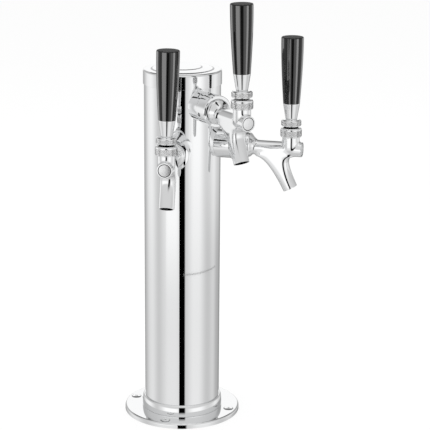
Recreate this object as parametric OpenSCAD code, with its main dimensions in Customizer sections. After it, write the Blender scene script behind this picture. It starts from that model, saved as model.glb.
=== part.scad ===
// Three-tap beer tower: a polished column on a bolted flange, with a lift-off cap
// and three lever faucets that threaded shanks clamp to its wall.
// Millimetres, +Z up, the origin at the centre of the flange's underside, and the
// middle faucet facing -Y. Each faucet is drawn with its shank along +X from the
// column's axis, and then turned and raised to its place.

/* [Column] */
// Outside diameter of the column tube
column_d = 76.2; // [74:0.1:90]
// Wall thickness of the column tube
column_wall = 1.2; // [0.8:0.1:2]
// Height of the column's top rim above the counter
column_top_z = 355.6; // [348:0.1:420]

/* [Cap] */
// Wall thickness of the cap's skirt
cap_wall = 0.8; // [0.6:0.1:1.5]
// Height of the cap's skirt below its shoulder
cap_skirt = 14.7; // [8:0.1:20]
// Rise of the cap's edge above the column's rim
cap_edge_rise = 2.1; // [1.6:0.1:4]
// Radius of the rounding between the skirt and the top
cap_edge_r = 2.5; // [1.5:0.1:3]
// Rise of the cap's centre above its edge
cap_crown = 1.9; // [1:0.1:4]
// Diameter of the outer ring pressed into the cap's top
cap_ring_d = 62; // [56:0.5:66]
// Diameter of the raised disc in the middle of the cap
cap_disc_d = 36; // [20:0.5:46]
// Height of each ring's step on the cap
cap_step = 0.3; // [0.1:0.05:0.5]

/* [Base flange] */
// Width of the base flange beyond the column
flange_w = 20.8; // [19:0.1:32]
// Thickness of the base flange
flange_t = 5; // [4:0.1:8]
// Radius of the rounding along the flange's upper rim
flange_edge_r = 2; // [1:0.1:3]
// Depth of the socket that the column stands in
socket_depth = 3; // [1.5:0.1:3.5]
// Width of the ledge under the column, from its outside inwards
ledge_w = 3.6; // [2.5:0.1:8]
// Distance from the flange's rim to the centre of each screw hole
bolt_margin = 8.1; // [7.6:0.1:9]
// Turn of the four screw holes from the diagonals of the row
bolt_turn = -4.7; // [-10:0.1:10]
// Diameter of each screw hole
bolt_hole_d = 5.5; // [4:0.1:6]
// Diameter of each countersink at the flange's top face
countersink_d = 10.4; // [9:0.1:11]

/* [Base collar] */
// Height of the trim collar above the flange
collar_h = 11.4; // [8:0.1:16]
// Height of the collar's widest line above the flange
collar_bead_h = 3.5; // [2:0.1:5]
// Bulge of the collar's bead beyond the column
collar_bulge = 3; // [2:0.1:3.4]
// Thickness of the collar's upper lip
collar_lip = 0.8; // [0.4:0.1:1.5]
// Amount by which the collar draws in again at the flange
collar_tuck = 0.3; // [0.1:0.1:0.6]

/* [Tap places] */
// Height of the two side shanks' axis above the counter
side_tap_z = 285.2; // [270:0.1:295]
// Height of the middle shank above the side shanks
middle_tap_rise = 41; // [38:0.1:44]
// Turn of the left tap from the middle one
left_tap_angle = 38; // [34:0.1:60]
// Turn of the right tap from the middle one
right_tap_angle = 44.2; // [34:0.1:60]

/* [Shank] */
// Thread diameter of the shank
shank_d = 22; // [20:0.1:23]
// Bore of the shank
shank_bore_d = 6.4; // [5:0.1:8]
// Reach of the shank inside the column, from the outside of the wall
shank_inner_reach = 14.1; // [12:0.1:15]
// Diameter of the saddle shroud between the column and the coupling nut
shroud_d = 29; // [28:0.1:30]
// Length of the shroud, from the column to its outer face
shroud_l = 13.2; // [8:0.1:18]
// Length of the shank's head
shank_head_l = 4.6; // [4.2:0.1:6]
// Width across the corners of the lock nut inside the column
lock_nut_d = 30; // [28:0.1:31]
// Thickness of the lock nut
lock_nut_t = 6; // [4:0.1:6.5]

/* [Coupling nut] */
// Outside diameter of the coupling nut
nut_d = 31; // [30:0.1:33]
// Thread diameter inside the coupling nut
nut_thread_d = 26.8; // [26:0.1:27.4]
// Thickness of the nut's front lip
nut_lip_t = 5.1; // [3:0.1:7]
// Diameter of each spanner hole in the nut's side
spanner_hole_d = 4; // [3:0.1:5]
// Thickness of the gasket between the shank and the faucet
gasket_t = 1.4; // [1:0.1:2.5]

/* [Faucet body] */
// Diameter of the rear flange that the nut holds
body_flange_d = 26.4; // [26:0.1:26.4]
// Length of the rear flange
body_flange_l = 4.4; // [3:0.1:6]
// Diameter of the hub that passes through the nut's lip
hub_d = 24.6; // [23:0.1:25]
// Length of the hub in front of the nut
hub_show = 3; // [1:0.1:5]
// Radius of the curve from the hub down to the barrel
throat_r = 18; // [12:0.5:22]
// Diameter of the barrel
barrel_d = 14.8; // [14:0.1:16]
// Drop of the barrel's axis below the shank's axis
barrel_drop = 1.9; // [0:0.1:2.4]
// Bore of the barrel
barrel_bore_d = 10; // [9.6:0.1:10.4]
// Distance from the body's rear face to the neck's axis
neck_reach = 52.75; // [50:0.05:60]
// Diameter of the neck that holds the lever
neck_d = 17; // [16.6:0.1:18]
// Distance from the neck's axis to the front of the nose
nose_reach = 11.5; // [11:0.1:13]
// Diameter of the nose
nose_d = 15; // [14.8:0.1:16]
// Diameter of the bare recess in the nose
nose_recess_d = 12.4; // [11:0.1:13]
// Depth of the recess in the nose
nose_recess = 0.7; // [0.3:0.1:1]

/* [Spout] */
// Drop of the spout's mouth below the shank's axis
spout_drop = 41.5; // [38:0.1:50]
// Tilt of the spout from upright
spout_tilt = 26.5; // [22:0.5:30]
// Outside diameter of the spout at its mouth
spout_d = 14.8; // [14:0.1:16]
// Bore of the spout at its mouth
spout_bore_d = 12.6; // [11.5:0.1:13]
// Distance of the mouth's centre in front of the neck's axis
mouth_reach = 0.3; // [0:0.1:1]
// Length of the straight bore inside the mouth
mouth_l = 12; // [8:0.1:14]
// Width of the spout where it leaves the barrel
root_w = 16.1; // [15.4:0.1:17]

/* [Valve] */
// Diameter of the valve shaft
shaft_d = 6.4; // [6:0.1:7]
// Diameter of the shaft's threaded rear end
shaft_stud_d = 5; // [4.5:0.1:5.2]
// Diameter of the chamber behind the valve seat
chamber_d = 17; // [16:0.1:17.4]
// Diameter of the rubber seat washer
washer_d = 14; // [13:0.1:14.4]
// Thickness of the seat washer
washer_t = 4.4; // [3.5:0.1:5]
// Width across the corners of the nut on the shaft
shaft_nut_d = 9.2; // [8:0.1:10]
// Thickness of the nut on the shaft
shaft_nut_t = 3.4; // [2.5:0.1:3.6]

/* [Lever] */
// Distance from the shaft's axis up to the centre of the lever's ball
lever_arm = 11.7; // [11.4:0.1:12.4]
// Diameter of the lever's ball
ball_d = 12.4; // [12:0.1:12.6]
// Swing of the lever from shut to open
lever_swing = 22; // [10:1:22]
// Lean of the lever towards the column when it is shut
lever_lean = 0.2; // [0:0.1:1.5]
// Sideways lean of the left lever as it stands, towards the right tap
left_lever_tilt = 1.1; // [-1.2:0.05:1.2]
// Sideways lean of the middle lever as it stands, towards the right tap
middle_lever_tilt = -0.85; // [-1.2:0.05:1.2]
// Sideways lean of the right lever as it stands, away from the left tap
right_lever_tilt = 0; // [-1.2:0.05:1.2]
// Diameter of the lever's stem where it leaves the bonnet
stem_d = 4.8; // [4:0.1:5]
// Diameter of the ball end of the lever's tail
tail_end_d = 3.6; // [3:0.1:3.8]
// Diameter of the lever's stud inside the handle
stud_d = 8; // [6:0.1:9]

/* [Bonnet and collar] */
// Diameter of the bonnet
bonnet_d = 21; // [20.4:0.1:22]
// Height of the bonnet's bottom above the ball's centre
bonnet_base_h = 2.2; // [2:0.1:2.6]
// Height of the bonnet's top above the ball's centre
bonnet_top_h = 10.3; // [9.9:0.1:10.4]
// Radius of the rounding round the bonnet's top
bonnet_edge_r = 2.2; // [2:0.1:2.4]
// Gap between the bonnet and the lever's collar
lever_gap = 1.6; // [1.5:0.1:3]
// Diameter of the lever's collar
lever_collar_d = 19.8; // [19.4:0.1:21]
// Height of the lever's collar
lever_collar_h = 6.4; // [5.6:0.1:8]

/* [Handle] */
// Diameter of the ferrule's foot
ferrule_foot_d = 11.2; // [10:0.1:13]
// Diameter of the ferrule's top
ferrule_top_d = 16.4; // [15:0.1:18]
// Height of the ferrule
ferrule_h = 15.75; // [10:0.05:22]
// Diameter of the grip at its widest
grip_d = 21.8; // [20:0.1:26]
// Height of the grip
grip_h = 64.9; // [50:0.1:90]
// Radius of the rounding round the grip's top
grip_edge_r = 1.6; // [1:0.1:2.5]

/* [Beer line elbow] */
// Diameter of the elbow's tube
elbow_d = 10; // [9:0.1:11]
// Bore of the elbow
elbow_bore_d = 4.4; // [4:0.1:5]
// Drop of the barb's tip below the shank's axis
elbow_drop = 26; // [22:0.1:27]
// Diameter of the hose barb at its rings
barb_d = 8.6; // [8:0.1:9.4]

/* [Hidden] */
$fn = 96;
quarter_turn = 90;
half_turn = 180;
full_turn = 360;

// Gap between pieces that are clamped or pressed together
fit_gap = 0.05;
// Radial gap of a running fit
run_gap = 0.05;
// Gap where one piece rests on another that can be lifted away
rest_gap = 0.3;
// Gap between the shut seat washer and its seat
seal_gap = 0.1;
// Overrun of every cut
cut = 1;
// Small chamfer on turned edges
edge = 0.6;

tap_names = ["left", "middle", "right"];
tap_angles = [-left_tap_angle, 0, right_tap_angle];
tap_heights = [side_tap_z, side_tap_z + middle_tap_rise, side_tap_z];
lever_tilts = [left_lever_tilt, middle_lever_tilt, right_lever_tilt];
tap_pieces = [
    "shank", "column_shroud", "lock_nut", "tail_elbow", "coupling_gasket", "coupling_nut",
    "faucet_body", "valve_shaft", "seat_washer", "shaft_nut", "lever_bushing", "ball_washer",
    "friction_ring", "bonnet", "lever", "lever_collar", "handle_ferrule", "handle_grip"
];

// Places on the column and its foot
column_r = column_d / 2;
column_bore_r = column_r - column_wall;
flange_r = column_r + flange_w;
socket_floor = flange_t - socket_depth;
column_foot_z = socket_floor + fit_gap;
bolt_count = 4;
bolt_circle_r = flange_r - bolt_margin;
countersink_depth = (countersink_d - bolt_hole_d) / 2;
cap_bore_r = column_r + 2 * run_gap;
cap_r = cap_bore_r + cap_wall;
cap_edge_z = column_top_z + cap_edge_rise;
cap_floor_z = column_top_z + rest_gap;
cap_skirt_z = cap_edge_z - cap_skirt;
cap_crown_z = cap_edge_z + cap_crown;
cap_plate_t = cap_edge_z - cap_floor_z;

// Places along a shank, measured from the column's axis
shank_r = shank_d / 2;
shank_bore_r = shank_bore_d / 2;
shank_in_x = column_r - shank_inner_reach;
shroud_r = shroud_d / 2;
shroud_end_x = column_r + shroud_l;
head_x = shroud_end_x + fit_gap;
shank_face_x = head_x + shank_head_l;
shank_chamber_l = 6;
gasket_x = shank_face_x + fit_gap;
body_x = gasket_x + gasket_t + fit_gap;
nut_r = nut_d / 2;
nut_thread_r = nut_thread_d / 2;
nut_setback = 0.4;
nut_rear_x = head_x + nut_setback;
nut_lip_x = body_x + body_flange_l + fit_gap;
nut_face_x = nut_lip_x + nut_lip_t;
spanner_holes = 4;
spanner_hole_turn = 12;
spanner_hole_x = (nut_rear_x + nut_lip_x) / 2 + edge;
lock_nut_sides = 6;
lock_nut_flat_r = lock_nut_d / 2 * cos(half_turn / lock_nut_sides);
lock_nut_x = sqrt(column_bore_r ^ 2 - lock_nut_flat_r ^ 2) - rest_gap;

// Places in the faucet's body
axis_z = -barrel_drop;
body_flange_r = body_flange_d / 2;
hub_r = hub_d / 2;
hub_end_x = nut_face_x + hub_show;
barrel_r = barrel_d / 2;
barrel_bore_r = barrel_bore_d / 2;
neck_x = body_x + neck_reach;
neck_r = neck_d / 2;
nose_x = neck_x + nose_reach;
nose_r = nose_d / 2;
nose_edge = 0.9;
nose_dome = 0.5;
recess_r = nose_recess_d / 2;
chamber_r = chamber_d / 2;
chamber_l = 6.5;
seat_x = body_x + chamber_l;
seat_end_x = seat_x + chamber_r - barrel_bore_r;

// Places round the lever's ball
ball_r = ball_d / 2;
ball_z = axis_z + lever_arm;
stack_wall = 0.4;
neck_bore_r = ball_r + stack_wall;
stack_r = neck_bore_r - 2 * fit_gap;
socket_r = ball_r + run_gap;
neck_floor_h = -5.4;
bushing_top_h = -0.8;
ball_washer_base_h = 1.5;
ball_washer_top_h = 5;
friction_ring_t = 1.2;
friction_ring_h = ball_washer_top_h + fit_gap;
neck_top_h = friction_ring_h + friction_ring_t + fit_gap;
bonnet_shoulder_h = neck_top_h + fit_gap;
bonnet_r = bonnet_d / 2;
thread_wall = 1.3;
neck_thread_r = neck_bore_r + thread_wall;

// Clearance round the swinging stem, and how far the stem reaches at a height above the ball
swing_gap = 0.3;
stem_r = stem_d / 2;
tail_r = 1.5;
function swing_reach(h, r) = h * tan(lever_swing) + r / cos(lever_swing) + swing_gap;
floor_hole_r = swing_reach(lever_arm - barrel_bore_r, tail_r);

// Heights on the lever, above its ball's centre
tail_end_r = tail_end_d / 2;
stud_r = stud_d / 2;
lever_collar_r = lever_collar_d / 2;
lever_collar_base_h = bonnet_top_h + lever_gap;
lever_collar_top_h = lever_collar_base_h + lever_collar_h;
lever_collar_edge = 1;
lever_collar_slope_h = 2.2;
lever_collar_top_r = ferrule_foot_d / 2 + 2 * lever_collar_edge - fit_gap;
lever_collar_rim_w = 1.3;
bonnet_edge_h = bonnet_top_h - bonnet_edge_r;
lever_recess_h = (bonnet_r - bonnet_edge_r) * sin(lever_swing) + bonnet_edge_h * cos(lever_swing)
    + bonnet_edge_r + swing_gap;
ferrule_h0 = lever_collar_top_h + fit_gap;
ferrule_top_h = ferrule_h0 + ferrule_h;
ferrule_foot_r = ferrule_foot_d / 2;
ferrule_top_r = ferrule_top_d / 2;
grip_h0 = ferrule_top_h + fit_gap;
grip_r = grip_d / 2;
grip_top_h = grip_h0 + grip_h;
grip_dish = 0.5;
stud_top_share = 0.18;
stud_top_h = grip_h0 + grip_h * stud_top_share;

// Places along the valve shaft
shaft_r = shaft_d / 2;
shaft_stud_r = shaft_stud_d / 2;
washer_r = washer_d / 2;
washer_front_x = seat_end_x - edge;
washer_rear_x = washer_front_x - washer_t;
washer_cone_x = seat_x + chamber_r - washer_r - seal_gap;
washer_tip_r = washer_r - washer_front_x + washer_cone_x;
shoulder_r = 4.4;
shoulder_t = 2.2;
shoulder_x = washer_front_x + fit_gap;
shaft_nut_sides = 6;
shaft_nut_x = washer_rear_x - fit_gap - shaft_nut_t;
shaft_rear_x = shaft_nut_x - edge;
land_r = barrel_bore_r - run_gap;
land_flat_r = 3.8;
land_l = 4;
land_x = shoulder_x + shoulder_t + land_l / 2;
guide_r = shaft_r + run_gap;
guide_x = neck_x + shaft_r * 3 / 4;
guide_wall = 2.5;
guide_floor_x = nose_x - guide_wall;
shaft_end_gap = 1.2;
shaft_front_x = guide_floor_x - shaft_end_gap;
slot_gap = 0.35;
slot_flare = 0.85;
slot_floor_gap = 0.8;
slot_flare_share = 0.3;
slot_x = neck_x + lever_arm * sin(lever_lean);

// Outline of the spout: its rear and front edges run as curves from the barrel to the mouth
spout_r = spout_d / 2;
spout_bore_r = spout_bore_d / 2;
spout_throat_r = 4.6;
mouth = [neck_x + mouth_reach, -spout_drop];
mouth_along = [sin(spout_tilt), -cos(spout_tilt)];
mouth_across = [cos(spout_tilt), sin(spout_tilt)];
root_rear_share = 0.185;
root_front_share = 0.33;
root_depth_share = 1.13;
root_rear = [nut_face_x + (neck_x - nut_face_x) * root_rear_share, axis_z - barrel_r * root_depth_share];
root_front = [neck_x + nose_reach * root_front_share, axis_z - nose_r];
lip_rear = mouth - spout_r * mouth_across;
lip_front = mouth + spout_r * mouth_across;
rear_bend_shares = [0.25, 0.58];
front_bend_shares = [-0.28, 0.57];
root_l = root_front[0] - root_rear[0];
core_inset_share = 0.08;
core_w_share = 0.82;
root_square = 2.6;
mouth_square = 2;
loft_steps = 10;
loft_sides = 32;

// Places on the beer line elbow
elbow_r = elbow_d / 2;
elbow_bore_r = elbow_bore_d / 2;
elbow_flange_r = 8.5;
elbow_flange_t = 1.8;
elbow_setback = 5.2;
elbow_knuckle = 0.6;
elbow_end_x = shank_in_x - fit_gap;
elbow_x = elbow_end_x - elbow_flange_t - elbow_setback;
nipple_r = shank_bore_r - fit_gap;
nipple_l = 6;
barb_r = barb_d / 2;
barb_core_r = 3.4;
barb_rings = 3;
barb_pitch = 4;

// Points of an arc of an ellipse round a centre, from one angle to another
arc_steps = 12;
function arc_points(centre, radii, from, to) = [
    for (i = [0 : arc_steps])
        let (turn = from + (to - from) * i / arc_steps)
        centre + [radii[0] * cos(turn), radii[1] * sin(turn)]
];

// Point at share t of a cubic curve through four control points
function curve_point(p, t) =
    (1 - t) ^ 3 * p[0] + 3 * (1 - t) ^ 2 * t * p[1] + 3 * (1 - t) * t ^ 2 * p[2] + t ^ 3 * p[3];

// A signed power, for the rounded-square sections of the spout
function soft_power(v, power) = sign(v) * abs(v) ^ power;

// Solid turned round the upright axis from points of [radius, height]
module turned(points) {
    rotate_extrude() polygon(points);
}

// Solid turned round the X axis from points of [radius, place]
module turned_x(points) {
    rotate([0, quarter_turn, 0]) turned(points);
}

// Straight round bar along X between two places
module bar_x(r, from, to) {
    translate([from, 0, 0]) rotate([0, quarter_turn, 0]) cylinder(r = r, h = to - from);
}

// Turns and raises what lies along +X to one tap's place
module at_tap(i) {
    rotate([0, 0, tap_angles[i] - quarter_turn]) translate([0, 0, tap_heights[i]]) children();
}

// Carries what stands on the lever's ball, leaning as one tap's shut lever does
module at_lever(i) {
    translate([neck_x, 0, ball_z]) rotate([-lever_tilts[i], -lever_lean, 0]) children();
}

// Carries what stands upright on the ball's centre in the neck
module at_neck() {
    translate([neck_x, 0, ball_z]) children();
}

// Column tube with a hole for each shank
module column() {
    color("silver") difference() {
        translate([0, 0, column_foot_z]) cylinder(r = column_r, h = column_top_z - column_foot_z);
        translate([0, 0, column_foot_z - cut])
            cylinder(r = column_bore_r, h = column_top_z - column_foot_z + 2 * cut);
        for (i = [0 : len(tap_names) - 1])
            at_tap(i) bar_x(shank_r + rest_gap, shank_in_x, column_r + cut);
    }
}

// Spun cap with a rounded shoulder, a pressed ring and a raised middle disc
module top_cap() {
    ring_r = cap_ring_d / 2;
    disc_r = cap_disc_d / 2;
    ring_z = cap_edge_z + cap_step;
    disc_z = cap_crown_z - cap_step;
    color("gainsboro") turned(concat(
        [[cap_bore_r, cap_skirt_z], [cap_r, cap_skirt_z]],
        arc_points([cap_r - cap_edge_r, cap_edge_z - cap_edge_r], [cap_edge_r, cap_edge_r], 0, quarter_turn),
        [[ring_r, cap_edge_z], [ring_r - cap_step, ring_z], [disc_r + cap_step, disc_z],
         [disc_r, cap_crown_z], [0, cap_crown_z], [0, cap_crown_z - cap_plate_t],
         [disc_r, disc_z - cap_plate_t], [ring_r, cap_floor_z], [cap_bore_r, cap_floor_z]]
    ));
}

// Flange with a rounded rim, a socket for the column and four countersunk holes
module base_flange() {
    ledge_r = column_r - ledge_w;
    socket_wall_r = column_r + fit_gap;
    color("silver") difference() {
        turned(concat(
            [[ledge_r, 0], [flange_r, 0]],
            arc_points([flange_r - flange_edge_r, flange_t - flange_edge_r],
                [flange_edge_r, flange_edge_r], 0, quarter_turn),
            [[socket_wall_r, flange_t], [socket_wall_r, socket_floor], [ledge_r, socket_floor]]
        ));
        for (i = [0 : bolt_count - 1]) rotate([0, 0, bolt_turn + (i + 1 / 2) * full_turn / bolt_count])
            translate([bolt_circle_r, 0, 0]) {
                translate([0, 0, -cut]) cylinder(d = bolt_hole_d, h = flange_t + 2 * cut);
                translate([0, 0, flange_t - countersink_depth]) cylinder(d1 = bolt_hole_d,
                    d2 = countersink_d + 2 * cut, h = countersink_depth + cut);
            }
    }
}

// Trim collar round the foot of the column, with a bead that narrows to a lip
module base_collar() {
    bore_r = column_r + fit_gap;
    lip_r = bore_r + collar_lip;
    bead_r = column_r + collar_bulge;
    foot_z = flange_t + fit_gap;
    bead_z = flange_t + collar_bead_h;
    color("gainsboro") turned(concat(
        [[bore_r, foot_z], [bead_r - collar_tuck, foot_z]],
        arc_points([lip_r, bead_z], [bead_r - lip_r, collar_h - collar_bead_h], 0, quarter_turn),
        [[bore_r, flange_t + collar_h]]
    ));
}

// Shroud cut to a saddle that sits round the column's wall
module column_shroud() {
    color("silver") difference() {
        turned_x([[0, 0], [shroud_r, 0], [shroud_r, shroud_end_x - edge],
            [shroud_r - edge, shroud_end_x], [0, shroud_end_x]]);
        bar_x(shank_r + rest_gap, -cut, shroud_end_x + cut);
        translate([0, 0, -shroud_r - cut]) cylinder(r = column_r + fit_gap, h = 2 * (shroud_r + cut));
    }
}

// Threaded shank with a head and a chamber for the rear of the valve
module shank() {
    head_r = nut_thread_r - fit_gap;
    chamber_x = shank_face_x - shank_chamber_l;
    color("darkgray") turned_x([
        [shank_bore_r, shank_in_x], [shank_r - edge, shank_in_x], [shank_r, shank_in_x + edge],
        [shank_r, head_x], [head_r, head_x], [head_r, shank_face_x], [chamber_r, shank_face_x],
        [chamber_r, chamber_x], [shank_bore_r, chamber_x]
    ]);
}

// Hexagonal nut that draws the shank tight from inside the column
module lock_nut() {
    color("darkgray") difference() {
        translate([lock_nut_x - lock_nut_t, 0, 0]) rotate([0, quarter_turn, 0])
            cylinder(r = lock_nut_d / 2, h = lock_nut_t, $fn = lock_nut_sides);
        bar_x(shank_r + fit_gap, lock_nut_x - lock_nut_t - cut, lock_nut_x + cut);
    }
}

// Elbow with a nipple in the shank and a hose barb that points down the column
module tail_elbow() {
    color("darkgray") difference() {
        union() {
            bar_x(elbow_r, elbow_x, elbow_end_x);
            bar_x(elbow_flange_r, elbow_end_x - elbow_flange_t, elbow_end_x);
            bar_x(nipple_r, elbow_end_x - edge, elbow_end_x + nipple_l);
            translate([elbow_x, 0, 0]) sphere(r = elbow_r + elbow_knuckle);
            translate([elbow_x, 0, -elbow_drop]) cylinder(r = barb_core_r, h = elbow_drop);
            for (i = [0 : barb_rings - 1]) translate([elbow_x, 0, -elbow_drop + i * barb_pitch])
                cylinder(r1 = barb_core_r, r2 = barb_r, h = barb_pitch - edge);
        }
        bar_x(elbow_bore_r, elbow_x, elbow_end_x + nipple_l + cut);
        translate([elbow_x, 0, -elbow_drop - cut]) cylinder(r = elbow_bore_r, h = elbow_drop + cut);
    }
}

// Rubber gasket between the shank and the faucet
module coupling_gasket() {
    color("dimgray") turned_x([
        [chamber_r, gasket_x], [body_flange_r, gasket_x],
        [body_flange_r, gasket_x + gasket_t], [chamber_r, gasket_x + gasket_t]
    ]);
}

// Round coupling nut with a front lip and spanner holes in its side
module coupling_nut() {
    lip_r = hub_r + 2 * fit_gap;
    color("silver") difference() {
        turned_x([
            [nut_thread_r, nut_rear_x], [nut_r - edge, nut_rear_x], [nut_r, nut_rear_x + edge],
            [nut_r, nut_face_x - edge], [nut_r - edge, nut_face_x], [lip_r, nut_face_x],
            [lip_r, nut_lip_x], [nut_thread_r, nut_lip_x]
        ]);
        for (i = [0 : spanner_holes - 1])
            rotate([spanner_hole_turn + i * full_turn / spanner_holes, 0, 0])
                translate([spanner_hole_x, 0, nut_thread_r - cut])
                    cylinder(d = spanner_hole_d, h = nut_r - nut_thread_r + 2 * cut);
    }
}

// Solid spout: rounded sections swept from the barrel down to the mouth
module spout_shape() {
    rear = [root_rear, root_rear + [rear_bend_shares[0] * root_l, 0],
        lip_rear - rear_bend_shares[1] * (root_rear[1] - lip_rear[1]) * mouth_along, lip_rear];
    front = [root_front, root_front + [front_bend_shares[0] * root_l, 0],
        lip_front - front_bend_shares[1] * (root_front[1] - lip_front[1]) * mouth_along, lip_front];
    inset = core_inset_share * root_l;
    core = [[root_rear[0] + inset, axis_z], [root_front[0] - inset, axis_z], root_w / 2 * core_w_share,
        root_square];
    sections = concat([core], [
        for (i = [0 : loft_steps])
            let (t = i / loft_steps, ease = t * t * (3 - 2 * t))
            [curve_point(rear, t), curve_point(front, t), root_w / 2 + (spout_r - root_w / 2) * ease,
             root_square + (mouth_square - root_square) * ease]
    ]);
    points = [
        for (section = sections)
            let (middle = (section[0] + section[1]) / 2, half = (section[1] - section[0]) / 2)
            for (k = [0 : loft_sides - 1])
                let (turn = k * full_turn / loft_sides, power = 2 / section[3],
                    along = soft_power(cos(turn), power), side = soft_power(sin(turn), power) * section[2])
                [middle[0] + half[0] * along, side, middle[1] + half[1] * along]
    ];
    rings = len(sections);
    first = [for (k = [loft_sides - 1 : -1 : 0]) k];
    last = [for (k = [0 : loft_sides - 1]) (rings - 1) * loft_sides + k];
    sides = [
        for (i = [0 : rings - 2]) for (k = [0 : loft_sides - 1])
            let (a = i * loft_sides + k, b = i * loft_sides + (k + 1) % loft_sides)
            for (face = [[a, b + loft_sides, a + loft_sides], [a, b, b + loft_sides]]) face
    ];
    polyhedron(points, concat([first, last], sides));
}

// Cast faucet body: rear flange and hub, barrel, nose, neck and curved spout, all bored through
module faucet_body() {
    throat = [hub_end_x + throat_r * cos(full_turn / 12), hub_r + throat_r * sin(full_turn / 12)];
    throat_points = [
        for (i = [0 : arc_steps])
            let (turn = half_turn + full_turn / 12 + i / arc_steps * full_turn / 6)
            [throat[1] + throat_r * sin(turn), throat[0] + throat_r * cos(turn)]
    ];
    barrel_start_x = hub_end_x - hub_show / 2;
    throat_l = (axis_z - mouth[1]) / cos(spout_tilt);
    color("silver") difference() {
        union() {
            turned_x(concat(
                [[0, body_x], [body_flange_r, body_x], [body_flange_r, nut_lip_x - fit_gap],
                 [hub_r, nut_lip_x - fit_gap]],
                throat_points,
                [[0, throat_points[arc_steps][1]]]
            ));
            translate([0, 0, axis_z]) turned_x(concat(
                [[0, barrel_start_x], [barrel_r, barrel_start_x], [barrel_r, neck_x], [nose_r, neck_x]],
                [for (p = arc_points([nose_x - nose_edge, nose_r - nose_edge],
                    [nose_edge, nose_edge], quarter_turn, 0)) [p[1], p[0]]],
                [[recess_r, nose_x], [recess_r, nose_x - nose_recess],
                 [recess_r * 3 / 4, nose_x - nose_recess + nose_dome * 3 / 5],
                 [0, nose_x - nose_recess + nose_dome]]
            ));
            spout_shape();
            translate([neck_x, 0, 0]) turned([
                [0, axis_z - neck_r / 2], [neck_r * 3 / 4, axis_z - neck_r / 2], [neck_r, axis_z + edge],
                [neck_r, ball_z + bonnet_base_h - fit_gap],
                [neck_thread_r, ball_z + bonnet_base_h - fit_gap],
                [neck_thread_r, ball_z + neck_top_h], [0, ball_z + neck_top_h]
            ]);
        }
        translate([0, 0, axis_z]) turned_x([
            [0, body_x - cut], [chamber_r, body_x - cut], [chamber_r, seat_x],
            [barrel_bore_r, seat_end_x], [barrel_bore_r, guide_x], [guide_r, guide_x],
            [guide_r, guide_floor_x], [0, guide_floor_x]
        ]);
        at_neck() turned([
            [0, barrel_bore_r - lever_arm - cut], [floor_hole_r, barrel_bore_r - lever_arm - cut],
            [floor_hole_r, neck_floor_h], [neck_bore_r, neck_floor_h],
            [neck_bore_r, neck_top_h + cut], [0, neck_top_h + cut]
        ]);
        translate([mouth[0], 0, mouth[1]]) rotate([0, -spout_tilt, 0]) turned([
            [0, -cut], [spout_bore_r, -cut], [spout_bore_r, mouth_l],
            [spout_throat_r, throat_l], [0, throat_l]
        ]);
    }
}

// Valve shaft with its shoulder, guide land, slotted front end and threaded rear stud
module valve_shaft() {
    tip_w = tail_end_r + slot_gap;
    color("darkgray") translate([0, 0, axis_z]) difference() {
        union() {
            turned_x([
                [0, shaft_rear_x], [shaft_stud_r, shaft_rear_x], [shaft_stud_r, shoulder_x],
                [shoulder_r, shoulder_x], [shoulder_r, shoulder_x + shoulder_t],
                [shaft_r, shoulder_x + shoulder_t], [shaft_r, shaft_front_x - edge],
                [shaft_r - edge, shaft_front_x], [0, shaft_front_x]
            ]);
            intersection() {
                bar_x(land_r, land_x, land_x + land_l);
                translate([land_x, -land_flat_r, -land_flat_r])
                    cube([land_l, 2 * land_flat_r, 2 * land_flat_r]);
            }
        }
        translate([slot_x - tip_w, -tip_w, -tail_end_r - slot_floor_gap])
            cube([2 * tip_w, 2 * tip_w, 2 * shaft_r + slot_floor_gap]);
        translate([slot_x - tip_w - slot_flare, -tip_w, shaft_r * slot_flare_share])
            cube([2 * (tip_w + slot_flare), 2 * tip_w, 2 * shaft_r]);
    }
}

// Rubber washer with a coned front that shuts against the body's seat
module seat_washer() {
    washer_bore_r = shaft_stud_r + fit_gap;
    color("dimgray") translate([0, 0, axis_z]) turned_x([
        [washer_bore_r, washer_rear_x], [washer_r, washer_rear_x], [washer_r, washer_cone_x],
        [washer_tip_r, washer_front_x], [washer_bore_r, washer_front_x]
    ]);
}

// Hexagonal nut that holds the washer on the shaft
module shaft_nut() {
    color("darkgray") translate([0, 0, axis_z]) difference() {
        translate([shaft_nut_x, 0, 0]) rotate([0, quarter_turn, 0])
            cylinder(d = shaft_nut_d, h = shaft_nut_t, $fn = shaft_nut_sides);
        bar_x(shaft_stud_r + fit_gap, shaft_nut_x - cut, shaft_nut_x + shaft_nut_t + cut);
    }
}

// Bushing under the ball, dished to carry it
module lever_bushing() {
    color("white") at_neck() difference() {
        translate([0, 0, neck_floor_h + fit_gap])
            cylinder(r = stack_r, h = bushing_top_h - neck_floor_h - fit_gap);
        sphere(r = socket_r);
        translate([0, 0, -ball_r]) cylinder(r = swing_reach(-neck_floor_h, tail_r), h = ball_r);
    }
}

// Washer over the ball, dished to hold it down
module ball_washer() {
    color("white") at_neck() difference() {
        translate([0, 0, ball_washer_base_h])
            cylinder(r = stack_r, h = ball_washer_top_h - ball_washer_base_h);
        sphere(r = socket_r);
        cylinder(r = swing_reach(ball_washer_top_h, stem_r), h = ball_r);
    }
}

// Flat ring that the bonnet presses on the ball washer
module friction_ring() {
    ring_top_h = friction_ring_h + friction_ring_t;
    color("dimgray") at_neck() difference() {
        translate([0, 0, friction_ring_h]) cylinder(r = stack_r, h = friction_ring_t);
        translate([0, 0, friction_ring_h - cut])
            cylinder(r = swing_reach(ring_top_h, stem_r), h = friction_ring_t + 2 * cut);
    }
}

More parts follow.
